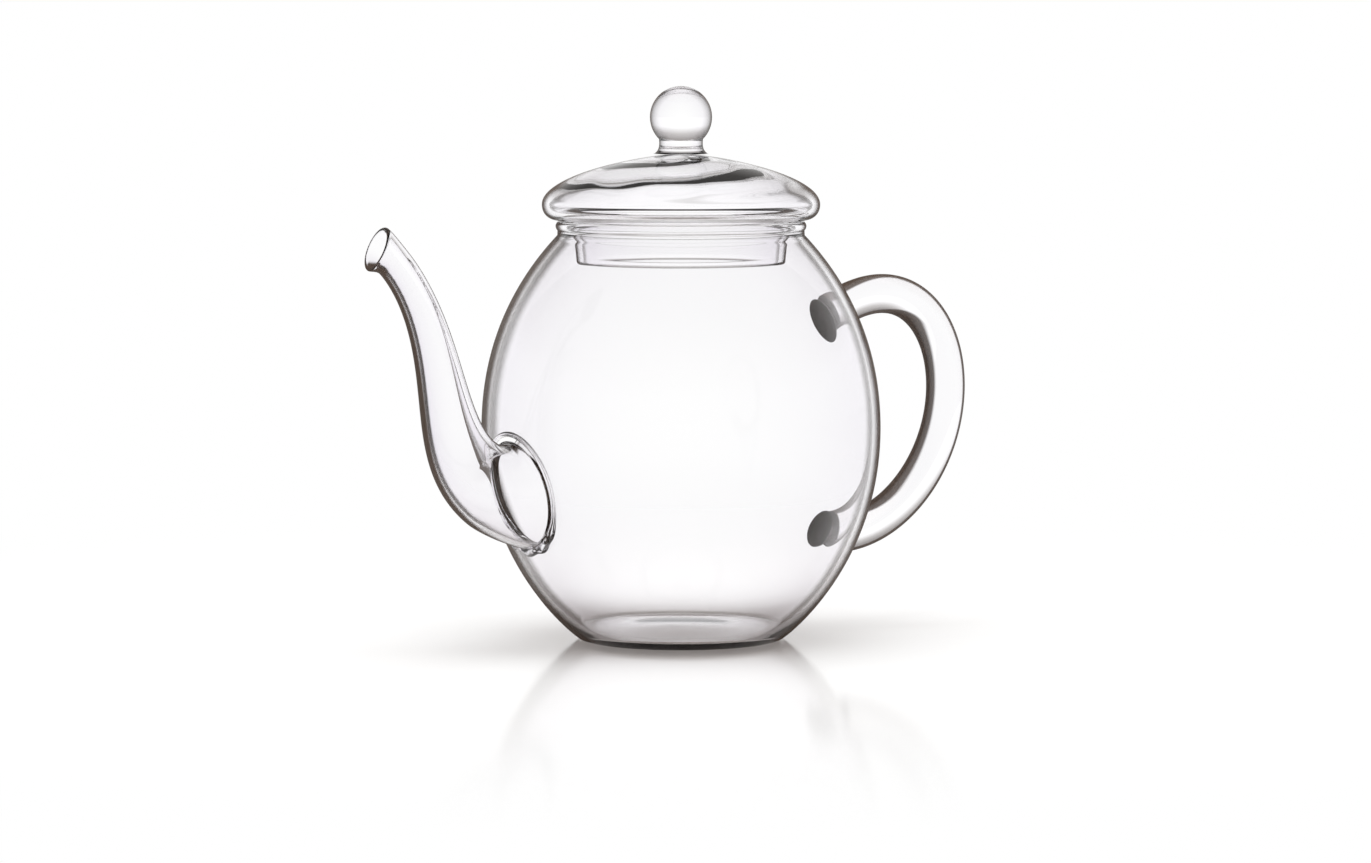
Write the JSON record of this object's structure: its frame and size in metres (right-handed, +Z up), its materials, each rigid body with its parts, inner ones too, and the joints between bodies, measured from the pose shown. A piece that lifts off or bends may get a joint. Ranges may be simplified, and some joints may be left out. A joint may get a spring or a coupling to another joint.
{
  "type": "glass teapot",
  "caption": "Clear blown-glass teapot: egg-shaped pot, hollow curved spout, solid bow handle and a domed lid with a ball knob that drops into the mouth.",
  "frame": {"origin": "centre of the flat resting ring, on the axis of the pot", "axes": "+X towards the spout with the handle along -X, +Z up along the axis of the pot"},
  "size_m": [0.2104, 0.12, 0.1663],
  "materials": {
    "blown_glass": "clear blown borosilicate glass, flame polished",
    "solid_glass": "clear solid drawn borosilicate glass, flame polished",
    "fused_glass": "clear borosilicate glass melted on by hand, slightly uneven"
  },
  "bodies": {
    "pot": {"pot_body": "blown_glass", "spout": "blown_glass", "spout_seam": "fused_glass", "handle": "solid_glass", "handle_upper_foot": "fused_glass", "handle_lower_foot": "fused_glass"},
    "lid": {"lid_dome": "blown_glass", "lid_skirt": "blown_glass", "lid_knob": "solid_glass"}
  },
  "joints": [
    {"name": "lid_lift", "type": "slide", "parent": "pot", "child": "lid", "axis": [0, 0, 1], "range_m": [0, 0.08]}
  ]
}
